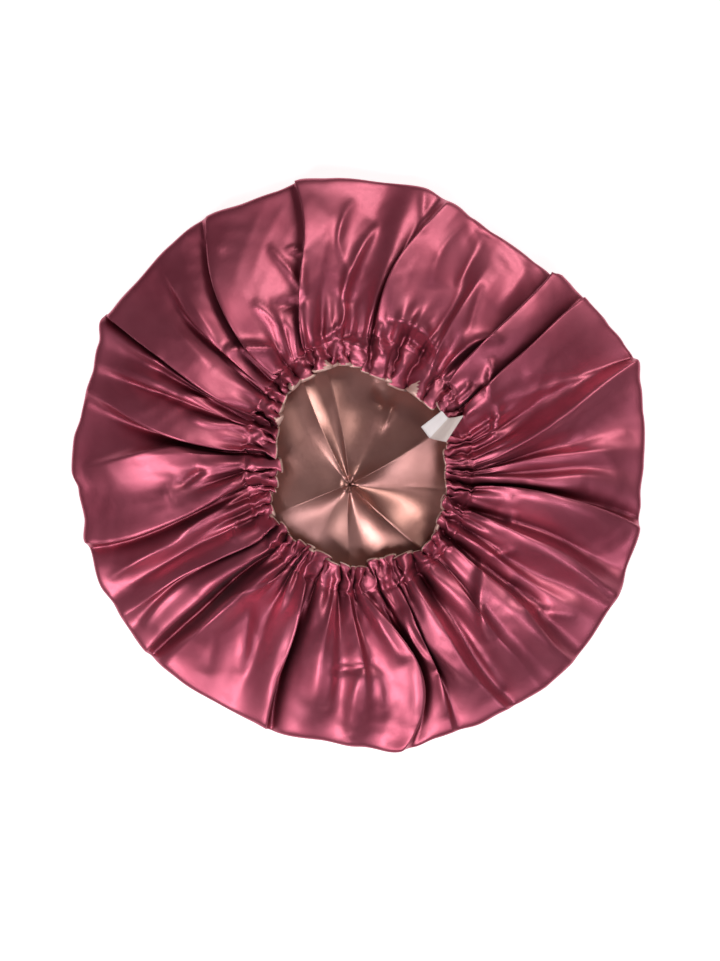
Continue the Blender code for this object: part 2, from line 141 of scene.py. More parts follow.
# One row for each ring of the satin from the rim to the casing: how far it lies along the way in and how
# high, as shares of the way and of the loft, and the shares of the pleats' depth and of the small gathers
# there.
Ring = namedtuple("Ring", "along rise fold gather")
RINGS = [
    Ring(0, 0.46, 0.48, 0),
    Ring(0.008, 0.6, 0.7, 0),
    Ring(0.11, 0.67, 0.82, 0),
    Ring(0.34, 0.84, 1.02, 0),
    Ring(0.6, 0.97, 1.02, 0.08),
    Ring(0.83, 1, 0.8, 0.45),
    Ring(1, 0.92, 0.45, 1),
]

# One row for each place where the mouth's free edge leaves its oval: the angle in degrees, and how far
# the edge lies outside the oval, as a share of the mouth's wave.
Wave = namedtuple("Wave", "angle out")
MOUTH_WAVES = [
    Wave(*row)
    for row in (
        (2, 0), (33, 0.85), (49, -0.35), (63, -1), (80, -0.85), (100, 0.15), (131, 0.75), (152, 0.2),
        (181, -0.55), (193, 0), (209, 0.85), (225, 0.5), (239, -0.15), (268, 0.2), (285, -0.35), (309, 1),
        (331, 0.45),
    )
]

# One row for each extra crease in the cloth, which runs through three places: their angles in degrees and
# their distances from the middle in the photograph's pixels. Then its width in millimetres on the steep
# side, at the right of its path, how many times wider its other side is, and its height in millimetres,
# down if negative.
Crease = namedtuple("Crease", "angle_a out_a angle_b out_b angle_c out_c width tail height")
CREASES = [
    Crease(*row)
    for row in (
        (7, 272, 6, 240, 4.5, 210, 4, 1.5, 1.4), (11.5, 133, 17, 141, 24, 150, 3, 1.5, 5.5),
        (14.5, 130, 19, 135, 22.5, 138, 2, 1, -4), (21.3, 258, 22.4, 205, 24, 158, 1.8, 1.5, 2.2),
        (22.3, 238, 25.5, 215, 28, 185, 4, 1.5, 1.8), (38.3, 167, 33, 152, 24, 138, 2.4, 2, 5.5),
        (36.5, 136, 34.8, 118, 32.6, 99, 2.4, 1.3, 5), (48.2, 122, 46.6, 166, 40.8, 184, 2.6, 1.3, 6),
        (50, 262, 49, 235, 48.5, 205, 5, 1.5, 1.6), (55.8, 216, 53.5, 190, 50.5, 168, 2, 1.5, -1.8),
        (61.5, 262, 61.3, 230, 61.5, 200, 3.5, 1.2, -2.2), (66, 262, 69, 225, 67.5, 190, 5, 1.3, 1.8),
        (77, 284, 76, 262, 74.8, 236, 2, 1.5, 2), (79.5, 143, 66, 146, 53.5, 131, 4, 1.6, 7.5),
        (74, 134, 65, 133, 57, 126, 2.4, 1.2, -4.5), (81, 140, 80, 118, 74, 110, 4, 1.5, 5.5),
        (84, 106, 92, 120, 103, 124, 4, 1.3, 4), (95, 166, 90.5, 203, 85.5, 240, 2.2, 3, 5),
        (91, 264, 95, 228, 93.5, 196, 2, 1.5, 2.2), (93.5, 200, 94.5, 178, 97.5, 155, 2.2, 1.5, 2.4),
        (95.5, 160, 98, 138, 111, 130, 3.4, 1.5, 5.5), (112.6, 234, 110, 205, 107.2, 172, 2, 1.3, 2.8),
        (104, 214, 106.5, 222, 109.5, 224, 1.6, 1, 2.2), (105.2, 212, 106.5, 190, 107.5, 172, 1.6, 1, 2),
        (108.5, 166, 113.5, 172, 119, 180, 3, 1.5, -2.8), (125.6, 288, 124, 268, 122.6, 248, 1.5, 2, 2),
        (123, 190, 121, 172, 119.8, 152, 1.8, 2, 2.6), (122.5, 128, 131, 153, 139.6, 174, 2.8, 2, 5.5),
        (135.4, 252, 137, 215, 139.8, 180, 2.6, 2.5, 3.2), (143, 240, 144.5, 205, 147, 170, 6, 1.3, 2.4),
        (152.6, 238, 152.6, 228, 152.4, 218, 4, 1, 2), (158, 190, 156.5, 165, 155.4, 142, 2.2, 1.2, 3),
        (157.8, 252, 158.2, 200, 160.8, 130, 2.4, 3, 3), (162.4, 172, 164.4, 160, 163.2, 132, 2, 1.2, 3),
        (173, 165, 176.5, 212, 180.6, 272, 2.2, 4, 4), (187.5, 176, 184.5, 166, 181, 152, 2.2, 1.3, -3.2),
        (192, 184, 188, 190, 184, 180, 3, 1.5, 1.8), (190, 135, 184, 110, 177, 92, 3, 1.5, 4),
        (201.6, 192, 199.3, 162, 195, 118, 1.8, 2.5, 3), (204.6, 272, 203.6, 240, 202.8, 205, 1.8, 2, 2.2),
        (203, 131, 206.5, 137, 210, 146, 2.4, 1.4, 3.5), (216.9, 266, 214.9, 235, 214.2, 200, 2, 2, 3),
        (218.4, 206, 219, 168, 221.4, 130, 2.4, 2.5, 3), (222.8, 276, 222.2, 205, 223.8, 126, 2.2, 1, -4),
        (228.6, 164, 225.4, 192, 226.5, 234, 2.2, 3, 3.5),
        (234.4, 128, 232.5, 148, 228.5, 166, 2.4, 2, 3.5), (234, 255, 232, 235, 229, 215, 3.5, 1.3, 1.8),
        (240.5, 238, 236.5, 200, 232.2, 170, 3, 3, 3.2), (252, 280, 250, 234, 247, 160, 1.8, 1, -4),
        (261.8, 246, 262.8, 205, 258.5, 124, 3, 3, 3), (276, 196, 268, 200, 261.5, 205, 1.8, 1.5, -2.2),
        (271, 200, 268.4, 232, 268.2, 272, 2, 2.5, 3), (275.4, 252, 275.6, 225, 275.2, 203, 2, 2, 2.4),
        (283.6, 198, 279, 166, 270, 120, 2.4, 2.5, 3.5), (282.4, 266, 284.6, 225, 286.2, 188, 2, 1.5, 2.4),
        (289.6, 264, 290.5, 235, 291.2, 218, 2.2, 1.5, 2.6),
        (291, 214, 287.4, 186, 286.6, 148, 2.4, 2, 3.2), (291, 140, 289.8, 178, 297.5, 246, 2.4, 3.5, 4),
        (301.5, 103, 292, 118, 283, 126, 2.2, 1.5, 4), (290, 98, 286, 108, 282, 118, 1.8, 1.5, 3),
        (302.8, 266, 303, 225, 301.6, 152, 2, 3, 3.5), (322.5, 152, 310.5, 182, 306.6, 212, 2.4, 2.5, 5),
        (316.4, 284, 316.7, 230, 316.6, 166, 2, 3, 3), (325.6, 262, 321, 226, 317, 200, 2, 1.5, 2.8),
        (322, 240, 323, 215, 322.5, 190, 7, 1.2, -2.8), (332, 176, 328.5, 165, 325, 154, 2, 1.5, 2.6),
        (331.6, 282, 334.2, 235, 335, 166, 2.4, 2, 3), (344, 161, 340.5, 160, 337, 161, 1.8, 1.3, 2.4),
        (345.8, 276, 348.6, 220, 348.8, 150, 2, 2.5, 2.6), (354.5, 225, 353.5, 195, 353, 165, 6, 1.3, 2.2),
    )
]
LINING_CREASES = [
    Crease(56.3, 42, 58.5, 56, 61.8, 72, 2.2, 2, 1.5),
    Crease(81, 84, 73, 75, 65.7, 63, 2.4, 2, -1.6),
    Crease(338.1, 55, 341.5, 71, 344.4, 87, 1, 2, -0.6),
]

# One row for each place where the casing's free edge is turned so far over that its lining shows: the
# angle and half of the width in degrees, and how far along the casing the lining starts there. The lining
# there takes the lighter edge satin, a painted highlight.
Turn = namedtuple("Turn", "angle half along")
TURNS = [
    Turn(54, 4.6, 0.5), Turn(70, 2.4, 0.8), Turn(94, 7, 0.86), Turn(107.3, 2.6, 0.55), Turn(130, 4.5, 0.7),
    Turn(150.5, 4, 0.72), Turn(209, 3, 0.8), Turn(300, 3.5, 0.84), Turn(321, 2.5, 0.75), Turn(240, 5, 0.88),
    Turn(125, 80, 0.87),
]

# The lining's folds meet at a pucker beside the middle. One row for each: the angles, in degrees about
# the pucker, of its crest and of the trough after it near the pucker and farther out, and their heights
# as shares of the creases' height.
Fold = namedtuple("Fold", "crest_near crest_far trough_near trough_far crest trough")
LINING_FOLDS = [
    Fold(23, 30, 62, 66, 0.78, 0.22),
    Fold(97, 105, 108, 112, 0.58, 0.4),
    Fold(124, 118, 138, 130, 0.6, 0.48),
    Fold(204, 206, 236, 244, 0.76, 0.34),
    Fold(262, 270, 274, 282, 0.52, 0.36),
    Fold(310, 314, 346, 350, 1, 0.4),
]


def length_setting(name, description, default):
    return FloatProperty(name=name, description=description, default=default, unit="LENGTH")


def colour_setting(name, description, default):
    return FloatVectorProperty(name=name, description=description, default=default, subtype="COLOR")


class SatinSettings(bpy.types.PropertyGroup):
    rim_radius: length_setting("Rim Radius", "Mean distance from the middle to the rolled rim", 0.1873)
    loft: length_setting("Loft", "Height of the slope between the pleats", 0.0255)
    fold_depth: length_setting("Pleat Depth", "Height of the highest pleat over the slope", 0.0175)
    gather_depth: length_setting("Gather Depth", "Height of the small gathers at the casing", 0.008)
    crease_share: FloatProperty(
        name="Crease Share", description="Height of the extra creases, times their table's", default=1.3
    )
    cloth: length_setting("Cloth", "Thickness of the satin walls", 0.0005)
    rose: colour_setting("Rose", "Colour of the outer satin", (0.58, 0.156, 0.222))
    rose_deep: colour_setting("Deep Rose", "Colour of the outer satin's deeper threads", (0.38, 0.064, 0.106))


class LiningSettings(bpy.types.PropertyGroup):
    crease_height: length_setting("Crease Height", "Height of the pressed creases on the crown", 0.018)
    pucker: FloatVectorProperty(
        name="Pucker", description="Place where the creases meet", default=(-0.0063, -0.0125), size=2,
        unit="LENGTH"
    )
    champagne: colour_setting("Champagne", "Colour of the lining", (0.66, 0.375, 0.325))
    champagne_deep: colour_setting("Deep Champagne", "Colour of its deeper threads", (0.33, 0.14, 0.11))


class CasingSettings(bpy.types.PropertyGroup):
    mouth_half_width: length_setting("Mouth Half Width", "Half of the mouth's shorter axis", 0.0565)
    mouth_half_length: length_setting("Mouth Half Length", "Half of the mouth's longer axis", 0.0655)
    mouth_wave: length_setting("Mouth Wave", "How far the free edge leaves its oval", 0.0075)
    width: length_setting("Casing Width", "Distance from the oval to the stitch line", 0.018)
    gathers: IntProperty(
        name="Gathers", description="Number of small gathers round the casing", default=54, min=12
    )


Layout = namedtuple("Layout", "angle_rim angle_mid angle_seat height lean rim")


def blend(start, end, share):
    return start + (end - start) * share


def eased(share):
    """A share from 0 to 1 that starts and ends gently."""
    return share * share * (3.0 - 2.0 * share)


def spun(out, angle, height):
    """Points at distances and angles about the middle, at heights."""
    return np.stack([out * np.cos(angle), out * np.sin(angle), height], -1)


def through(rim, middle, seat, share):
    """A smooth line with three given values at the rim, half way in, and at the casing."""
    control = 2.0 * middle - 0.5 * (rim + seat)
    rest = 1.0 - share
    return rest * rest * rim + 2.0 * share * rest * control + share * share * seat


def around(table, column, degrees, period=360.0):
    """A table's column read smoothly at angles in degrees, going round the circle."""
    angles = np.array([row.angle for row in table], float)
    values = np.array([getattr(row, column) for row in table], float)
    angles = np.concatenate([angles[-2:] - period, angles, angles[:2] + period])
    values = np.concatenate([values[-2:], values, values[:2]])
    start = np.mod(degrees - angles[2], period) + angles[2]
    place = np.clip(np.searchsorted(angles, start, side="right") - 1, 1, len(angles) - 3)
    share = (start - angles[place]) / (angles[place + 1] - angles[place])
    return blend(values[place], values[place + 1], eased(share))


def smooth_column(table, column, place):
    """A table's column as a smooth curve through its rows; place counts rows and may be a fraction."""
    values = np.array([getattr(row, column) for row in table], float)
    padded = np.concatenate([[2 * values[0] - values[1]], values, [2 * values[-1] - values[-2]]])
    here = np.clip(np.floor(place).astype(int), 0, len(values) - 2)
    t = place - here
    p0, p1, p2, p3 = (padded[here + step] for step in range(4))
    return 0.5 * (
        2.0 * p1
        + (p2 - p0) * t
        + (2.0 * p0 - 5.0 * p1 + 4.0 * p2 - p3) * t * t
        + (3.0 * p1 - p0 - 3.0 * p2 + p3) * t * t * t
    )


def ripple(angle, along, seed, counts, stretch):
    """Smooth random waves, from about -1 to 1, that close on themselves round the bonnet."""
    random = np.random.default_rng(seed)
    total = np.zeros(np.broadcast(angle, along).shape)
    number = 14
    for _ in range(number):
        turns = random.integers(counts[0], counts[1] + 1)
        lift = random.uniform(-stretch, stretch)
        total = total + np.sin(turns * angle + lift * along + random.uniform(0.0, math.tau))
    return total / math.sqrt(number)


def oval_radius(angle):
    casing = bpy.context.scene.bonnet_casing
    across = np.cos(angle) / casing.mouth_half_width
    along = np.sin(angle) / casing.mouth_half_length
    return 1.0 / np.hypot(across, along)


def mouth_radius(angle):
    wave = around(MOUTH_WAVES, "out", np.degrees(angle))
    return oval_radius(angle) + bpy.context.scene.bonnet_casing.mouth_wave * wave


def seat_radius(angle):
    return oval_radius(angle) + bpy.context.scene.bonnet_casing.width


def rim_at(degrees):
    """How far out the rim lies at angles in degrees."""
    return bpy.context.scene.bonnet_satin.rim_radius * around(OUTLINE, "reach", degrees)


def stitch_height(columns):
    """The height of the stitch line, where the slope meets the casing, at each line of cloth."""
    satin = bpy.context.scene.bonnet_satin
    return satin.loft * RINGS[-1].rise + satin.fold_depth * RINGS[-1].fold * columns.height


# How wide the small gathers are round the casing: angles in degrees and shares of their mean width.
GATHER_WIDTHS = (
    (0, 0.7), (14, 0.8), (26, 1.1), (40, 1.2), (58, 1.9), (84, 2.3), (104, 1.7), (122, 1), (146, 1.6),
    (166, 1), (184, 1.3), (206, 0.85), (230, 1.4), (246, 0.9), (262, 1.2), (288, 1.8), (306, 0.95),
    (330, 0.8), (348, 0.9), (360, 0.7),
)

# What the small gathers are at a line of cloth: the height over the valley beside it, from 0 to 1, the
# sideways curl, the lean of the crest, and how far out the gather reaches, as a share of the way.
Gather = namedtuple("Gather", "ridge curl lean reach")


def gather_at(angle, seed, share):
    """One row of small gathers at angles in radians, each with its own width, height, crest and lean."""
    count = round(bpy.context.scene.bonnet_casing.gathers * share)
    random = np.random.default_rng(seed)
    spread = np.arange(count) / count * 360.0
    wide = np.interp(spread, *np.array(GATHER_WIDTHS).T)
    widths = random.uniform(0.45, 1.75, count) * wide
    starts = np.concatenate([[0.0], np.cumsum(widths)]) / widths.sum()
    heights = np.sqrt(np.minimum(widths, 2.0) / 1.8) * random.uniform(0.6, 1.05, count)
    heights = heights * (1.0 - 0.4 * np.exp(-(((spread - 80.0) / 24.0) ** 2)))
    leans = random.uniform(-0.5, 1.0, count)
    reaches = random.uniform(0.14, 0.46, count) * (0.6 + 0.5 * np.sqrt(widths / 1.8))
    crests = random.uniform(0.32, 0.68, count)
    sharpness = random.uniform(0.65, 1.15, count)
    turn = np.mod(angle / math.tau, 1.0)
    place = np.clip(np.searchsorted(starts, turn, side="right") - 1, 0, count - 1)
    phase = (turn - starts[place]) / (starts[place + 1] - starts[place])
    crest = crests[place]
    climb = np.where(phase < crest, phase / crest, (1.0 - phase) / (1.0 - crest))
    ridge = np.sin(0.5 * math.pi * np.clip(climb, 0.0, 1.0)) ** sharpness[place] * heights[place]
    curl = np.sin(math.tau * phase) * np.sqrt(widths[place])
    return Gather(ridge, curl, leans[place], reaches[place])


def mixed(first, second, share):
    """Gathers between two rows of them."""
    return Gather(*(blend(one, other, share) for one, other in zip(first, second)))


def pleat_columns():
    """The lines of cloth from the rim to the casing, each between a crest and a trough."""
    columns = []
    for number, pleat in enumerate(PLEATS):
        before = PLEATS[number - 1]
        back = 360.0 if number == 0 else 0.0
        trough = np.array([before.trough_rim, before.trough_mid, before.trough_seat]) - back
        crest = np.array([pleat.crest_rim, pleat.crest_mid, pleat.crest_seat])
        after = np.array([pleat.trough_rim, pleat.trough_mid, pleat.trough_seat])
        rising = max(9, round(float((crest - trough).max()) * 1.7))
        falling = max(7, round(float((after - crest).max()) * 1.7))
        for step in range(rising):
            u = step / rising
            bend = blend(1.0 - math.cos(math.pi * u / 2.0), math.sin(math.pi * u / 2.0), pleat.belly)
            rim = blend(before.rim, pleat.rim, u)
            height = blend(before.trough, pleat.crest, bend)
            columns.append((*blend(trough, crest, u), height, pleat.lean * u**3, rim))
        for step in range(falling):
            u = step / falling
            bend = 0.5 - 0.5 * math.cos(math.pi * u**0.8)
            height = blend(pleat.crest, pleat.trough, bend)
            columns.append((*blend(crest, after, u), height, pleat.lean * (1.0 - u) ** 2, pleat.rim))
    return Layout(*np.array(columns).T)


def rows_between(counts):
    """Places along a ring table, with a number of rows from each ring to the next."""
    places = []
    for number, count in enumerate(counts):
        places.extend(number + np.arange(count) / count)
    return np.array([*places, len(counts)])


def softened(values, passes, axis):
    """Neighbouring values evened out, going round along one axis."""
    for _ in range(passes):
        values = 0.5 * values + 0.25 * (np.roll(values, 1, axis) + np.roll(values, -1, axis))
    return values


def on_path(crease, share):
    """The place on a crease's path, which bends evenly through its three places."""
    ends = []
    for angle, out in zip(crease[0:6:2], crease[1:6:2]):
        turn = math.radians(angle)
        ends.append(np.array((out * PIXEL * math.cos(turn), out * PIXEL * math.sin(turn))))
    return through(*ends, share)


def crease_lift(table, x, y):
    """How far a table's creases raise the cloth, at places on the plan."""
    lift = np.zeros(x.shape)
    steps = 8
    for crease in table:
        near = np.full(x.shape, 1.0)
        side = np.zeros(x.shape)
        share = np.zeros(x.shape)
        for step in range(steps):
            start, end = on_path(crease, step / steps), on_path(crease, (step + 1) / steps)
            run = end - start
            length = math.hypot(*run)
            along = np.clip(((x - start[0]) * run[0] + (y - start[1]) * run[1]) / length**2, 0.0, 1.0)
            gap = np.hypot(x - start[0] - along * run[0], y - start[1] - along * run[1])
            closer = gap < near
            left = run[0] * (y - start[1]) - run[1] * (x - start[0]) > 0.0
            side = np.where(closer, left, side)
            share = np.where(closer, (step + along) / steps, share)
            near = np.where(closer, gap, near)
        width = crease.width / 1000.0 * np.where(side > 0.5, crease.tail, 1.0)
        fade = np.sin(math.pi * share) ** 0.6
        lift = lift + crease.height / 1000.0 * fade * np.exp(-near / width)
    return lift * bpy.context.scene.bonnet_satin.crease_share


def crumpled(angle, out, seed):
    """Patches of sharp little creases that run aslant over the cloth, from 0 to about 1."""
    random = np.random.default_rng(seed)
    total = np.zeros(out.shape)
    for _ in range(12):
        turns = random.integers(12, 34)
        slant = random.uniform(-1.5, 1.5) * turns / 0.12
        patch = np.sin(random.integers(2, 8) * angle + random.uniform(0.0, math.tau))
        patch = patch * np.sin(random.uniform(40.0, 90.0) * out + random.uniform(0.0, math.tau))
        bend = 0.8 * np.sin(random.integers(5, 14) * angle + 60.0 * out)
        wave = np.sin(turns * angle + slant * out + bend + random.uniform(0.0, math.tau))
        total = total + np.clip(1.8 * patch - 0.3, 0.0, 1.0) * (1.0 - np.abs(wave)) ** 2
    return total


def shell_grid():
    """The outer satin as a grid of points, from the rim's underside up and in to the casing."""
    satin = bpy.context.scene.bonnet_satin
    layout = pleat_columns()
    place = rows_between((4, 6, 9, 11, 10, 9))[:, None]
    along, rise, fold, gather = (smooth_column(RINGS, name, place) for name in Ring._fields)
    gather = np.clip(gather, 0.0, 1.0)
    degrees = through(layout.angle_rim, layout.angle_mid, layout.angle_seat, along)
    wander = ripple(np.radians(layout.angle_mid), along * 5.0, 3, (7, 22), 1.5)
    degrees = degrees + (0.35 + 1.05 * along) * wander * np.clip(1.3 * (1.0 - along) + 0.25, 0.0, 1.0) * fold
    angle = np.radians(degrees)
    out = blend(rim_at(layout.angle_rim), seat_radius(angle), along)
    kept = 1.0 - (1.0 - layout.rim) * np.exp(-((along / 0.28) ** 2))
    height = satin.loft * rise + satin.fold_depth * fold * blend(0.45, layout.height, kept)
    angle = angle + satin.fold_depth * layout.lean * fold * kept / out
    lift = crease_lift(CREASES, out * np.cos(angle), out * np.sin(angle))
    calm = np.exp(-np.abs(lift) / CALMING_LIFT)
    small = gather_at(np.radians(layout.angle_seat), *SLOPE_GATHERS)
    near = eased(np.clip((along - 1.0 + small.reach) / small.reach, 0.0, 1.0)) * calm
    height = height + satin.gather_depth * (near * small.ridge - 0.35 * gather * calm)
    angle = angle + 0.0036 * small.lean * small.ridge * near / out
    open_cloth = np.clip(fold, 0.0, 1.0)
    height = height + 0.0016 * open_cloth * ripple(angle, along * 4.0, 41, (3, 11), 2.0)
    height = height + 0.0003 * open_cloth * (crumpled(angle, out, 43) - 0.4)
    height = height + 0.0007 * gather * ripple(angle, along * 6.0, 9, (20, 70), 2.2)
    height = height + lift * np.clip(fold + 0.4, 0.0, 1.0)
    return softened(spun(out, angle, height), 1, 1)


def crown_rows(rim_ring, shares, floor):
    """Rings that carry the satin from the rim's widest ring down and in under the crown."""
    rows = []
    heading = np.arctan2(rim_ring[:, 1], rim_ring[:, 0])
    for inward, rise in shares:
        ring = rim_ring.copy()
        wave = np.clip(ripple(heading, rise, 61, (14, 52), 2.0), -1.5, 1.5)
        ring[:, :2] *= (1.0 - inward - 0.22 * min(inward, 0.05) * wave)[:, None]
        ring[:, 2] = floor + (rim_ring[:, 2] - floor) * rise
        rows.append(ring)
    return np.array(rows)


def linked(name, data):
    """An object in the scene that holds a mesh, a camera or a light."""
    obj = bpy.data.objects.new(name, data)
    bpy.context.scene.collection.objects.link(obj)
    return obj


def mesh_object(name, points, faces, slots=None):
    """A smooth mesh; slots gives each face the number of its material."""
    mesh = bpy.data.meshes.new(name)
    mesh.from_pydata(points, [], faces)
    if slots is not None:
        mesh.polygons.foreach_set("material_index", slots)
    mesh.shade_smooth()
    return linked(name, mesh)


def grid_object(name, grid, centre=None):
    """A mesh from closed rings of points, with a fan to a centre point before the first ring."""
    rows, columns = grid.shape[:2]
    points = grid.reshape(-1, 3)
    index = np.arange(rows * columns).reshape(rows, columns)
    after = np.roll(index, -1, 1)
    faces = np.stack([index[:-1], after[:-1], after[1:], index[1:]], -1).reshape(-1, 4).tolist()
    if centre is not None:
        points = np.vstack([points, centre])
        faces += [[rows * columns, int(b), int(a)] for a, b in zip(index[0], after[0])]
    return mesh_object(name, points.tolist(), faces)


def thicken(obj, thickness, offset):
    """Turns a sheet into a thin closed wall."""
    modifier = obj.modifiers.new("wall", "SOLIDIFY")
    modifier.thickness = thickness
    modifier.offset = offset
    modifier.use_even_offset = False
    bpy.context.view_layer.objects.active = obj
    with bpy.context.temp_override(object=obj, active_object=obj, selected_objects=[obj]):
        bpy.ops.object.modifier_apply(modifier=modifier.name)


def pulls(gap, rest):
    """How far each spring pulls its first end, from the gap between its ends and its length at rest."""
    length = np.sqrt((gap * gap).sum(-1, keepdims=True))
    return (1.0 - rest / np.maximum(length, 1e-7)) * gap


def gathered(grid, hold, growth, rounds, limit):
    """The cloth once its rings have grown longer while its lines from rim to casing keep their length, so
    that it buckles. hold keeps a point in place, from 0 to 1, and limit caps how far a point goes."""
    start = grid.astype(np.float32)
    free = (1.0 - hold)[..., None].astype(np.float32)
    growth = growth[..., None].astype(np.float32)
    ring_rest = np.sqrt(((np.roll(start, -1, 1) - start) ** 2).sum(-1, keepdims=True))
    line_rest = np.sqrt((np.diff(start, axis=0) ** 2).sum(-1, keepdims=True))
    moved = np.zeros_like(start)
    pace = np.zeros_like(start)
    evenness = 0.10 + 0.40 * (1.0 - np.minimum(1.0, growth / 0.25)) ** 2
    for number in range(rounds):
        points = start + moved
        grown = ring_rest * (1.0 + growth * min(1.0, 2.0 * (number + 1) / rounds))
        ring = 0.5 * pulls(np.roll(points, -1, 1) - points, grown)
        line = 0.5 * pulls(np.diff(points, axis=0), line_rest)
        push = ring - np.roll(ring, 1, 1)
        push[:-1] += line
        push[1:] -= line
        pace = 0.85 * pace + 0.45 * push * free
        moved = moved + pace
        even = moved.copy()
        even[1:-1] = 0.7 * moved[1:-1] + 0.15 * (moved[2:] + moved[:-2])
        moved = even + evenness * (0.5 * (np.roll(even, 1, 1) + np.roll(even, -1, 1)) - even)
        far = np.sqrt((moved * moved).sum(-1, keepdims=True))
        moved = moved * np.minimum(1.0, limit / np.maximum(far, 1e-7)) * (free > 0.0)
    return (start + moved).astype(float)


def faces_outward(obj, outer_point):
    """Flips the sheet's faces where they look away from a point outside of it."""
    middle = obj.data.polygons[len(obj.data.polygons) // 2]
    if middle.normal.dot(Vector(outer_point) - middle.center) < 0.0:
        obj.data.flip_normals()


def fill(tree, node, inputs):
    """Gives a node's inputs their values, or links them where another node's output is given."""
    for name, value in inputs.items():
        if isinstance(value, bpy.types.NodeSocket):
            tree.links.new(value, node.inputs[name])
        else:
            node.inputs[name].default_value = value


def add_node(tree, kind, inputs, **options):
    node = tree.nodes.new(kind)
    for name, value in options.items():
        setattr(node, name, value)
    fill(tree, node, inputs)
    return node


def new_group(name, sockets):
    """A shader node group with its inputs and outputs, and the two nodes that stand for them inside of it."""
    group = bpy.data.node_groups.new(name, "ShaderNodeTree")
    for side, label, kind, default in sockets:
        socket = group.interface.new_socket(name=label, in_out=side, socket_type=kind)
        if default is not None:
            socket.default_value = default
    return group, group.nodes.new("NodeGroupInput"), group.nodes.new("NodeGroupOutput")


SATIN_SOCKETS = (
    ("INPUT", "Colour", "NodeSocketColor", (0.3, 0.05, 0.1, 1.0)),
    ("INPUT", "Deep Colour", "NodeSocketColor", (0.2, 0.02, 0.05, 1.0)),
    ("INPUT", "Roughness", "NodeSocketFloat", 0.35),
    ("INPUT", "Thread Scale", "NodeSocketFloat", 900.0),
    ("OUTPUT", "Colour", "NodeSocketColor", None),
    ("OUTPUT", "Roughness", "NodeSocketFloat", None),
    ("OUTPUT", "Height", "NodeSocketFloat", None),
)
TAPE_SOCKETS = (
    ("INPUT", "Thread Scale", "NodeSocketFloat", 1500.0),
    ("OUTPUT", "Height", "NodeSocketFloat", None),
)


def satin_group():
    """A shader node group for satin: threads that vary in colour, fine lines of weave, soft unevenness."""
    group = bpy.data.node_groups.get("satin_threads")
    if group:
        return group
    group, given, found = new_group("satin_threads", SATIN_SOCKETS)
    given = given.outputs
    place = add_node(group, "ShaderNodeTexCoord", {}).outputs["Object"]
    cloud = add_node(group, "ShaderNodeTexNoise", {"Vector": place, "Scale": 30.0, "Detail": 5.0})
    slub = add_node(group, "ShaderNodeTexNoise", {"Vector": place, "Scale": 420.0, "Detail": 2.0})
    lines = {"Vector": place, "Scale": given["Thread Scale"], "Distortion": 1.2, "Detail": 1.0}
    weave = add_node(group, "ShaderNodeTexWave", lines, bands_direction="DIAGONAL")
    colours = {"Factor": cloud.outputs["Fac"], "A": given["Colour"], "B": given["Deep Colour"]}
    colour = add_node(group, "ShaderNodeMix", colours, data_type="RGBA")
    unevenness = {"Value": slub.outputs["Fac"], "To Min": -0.04, "To Max": 0.06}
    vary = add_node(group, "ShaderNodeMapRange", unevenness)
    parts = {0: given["Roughness"], 1: vary.outputs["Result"]}
    rough = add_node(group, "ShaderNodeMath", parts, operation="ADD")
    heights = {0: weave.outputs["Fac"], 1: 0.5, 2: slub.outputs["Fac"]}
    height = add_node(group, "ShaderNodeMath", heights, operation="MULTIPLY_ADD")
    fill(group, found, {"Colour": colour.outputs["Result"], "Roughness": rough.outputs["Value"]})
    fill(group, found, {"Height": height.outputs["Value"]})
    return group


def tape_group():
    """A shader node group for woven tape: fine threads both ways."""
    group = bpy.data.node_groups.get("tape_threads")
    if group:
        return group
    group, given, found = new_group("tape_threads", TAPE_SOCKETS)
    place = add_node(group, "ShaderNodeTexCoord", {}).outputs["Object"]
    lines = {"Vector": place, "Scale": given.outputs["Thread Scale"], "Detail": 2.0}
    fill(group, found, {"Height": add_node(group, "ShaderNodeTexNoise", lines).outputs["Fac"]})
    return group


def new_material(name):
    """A material, the tree of its nodes and its shader."""
    material = bpy.data.materials.new(name)
    material.use_nodes = True
    return material, material.node_tree, material.node_tree.nodes["Principled BSDF"]


def add_relief(tree, height, strength, distance):
    """Lets a height show in the light on the tree's shader."""
    bump = add_node(tree, "ShaderNodeBump", {"Height": height, "Strength": strength, "Distance": distance})
    fill(tree, tree.nodes["Principled BSDF"], {"Normal": bump.outputs["Normal"]})


def satin_material(name, colour, deep, roughness, metal, coat, tint):
    """Satin with painted shade: its colour goes towards a darker copy of its deep tone where ambient
    occlusion finds its folds. tint colours its sheen and its grazing gloss.
    """
    material = bpy.data.materials.get(name)
    if material:
        return material
    material, tree, shader = new_material(name)
    colours = {"Colour": (*colour, 1.0), "Deep Colour": (*deep, 1.0), "Roughness": roughness}
    threads = add_node(tree, "ShaderNodeGroup", {}, node_tree=satin_group())
    fill(tree, threads, colours)
    # Painted shade: the colour darkens in the folds and hollows that ambient occlusion finds.
    around_it = {"Color": threads.outputs["Colour"], "Distance": 0.014}
    shade = add_node(tree, "ShaderNodeAmbientOcclusion", around_it, samples=8, only_local=True)
    openness = {"Value": shade.outputs["AO"], "From Min": 0.20, "From Max": 0.85}
    depth = add_node(tree, "ShaderNodeMapRange", openness)
    painted_shade_colour = (*(0.36 * part**1.3 for part in deep), 1.0)
    layers = {"Factor": depth.outputs["Result"], "A": painted_shade_colour, "B": threads.outputs["Colour"]}
    add_relief(tree, threads.outputs["Height"], 0.08, 0.0002)
    looks = {
        "Base Color": add_node(tree, "ShaderNodeMix", layers, data_type="RGBA").outputs["Result"],
        "Roughness": threads.outputs["Roughness"],
        "Metallic": metal,
        "Specular IOR Level": 0.4,
        "Specular Tint": tint,
        "Coat Weight": coat,
        "Coat Roughness": 0.32,
        "Anisotropic": 0.4,
        "Sheen Weight": 0.04,
        "Sheen Roughness": 0.4,
        "Sheen Tint": tint,
    }
    fill(tree, shader, looks)
    return material


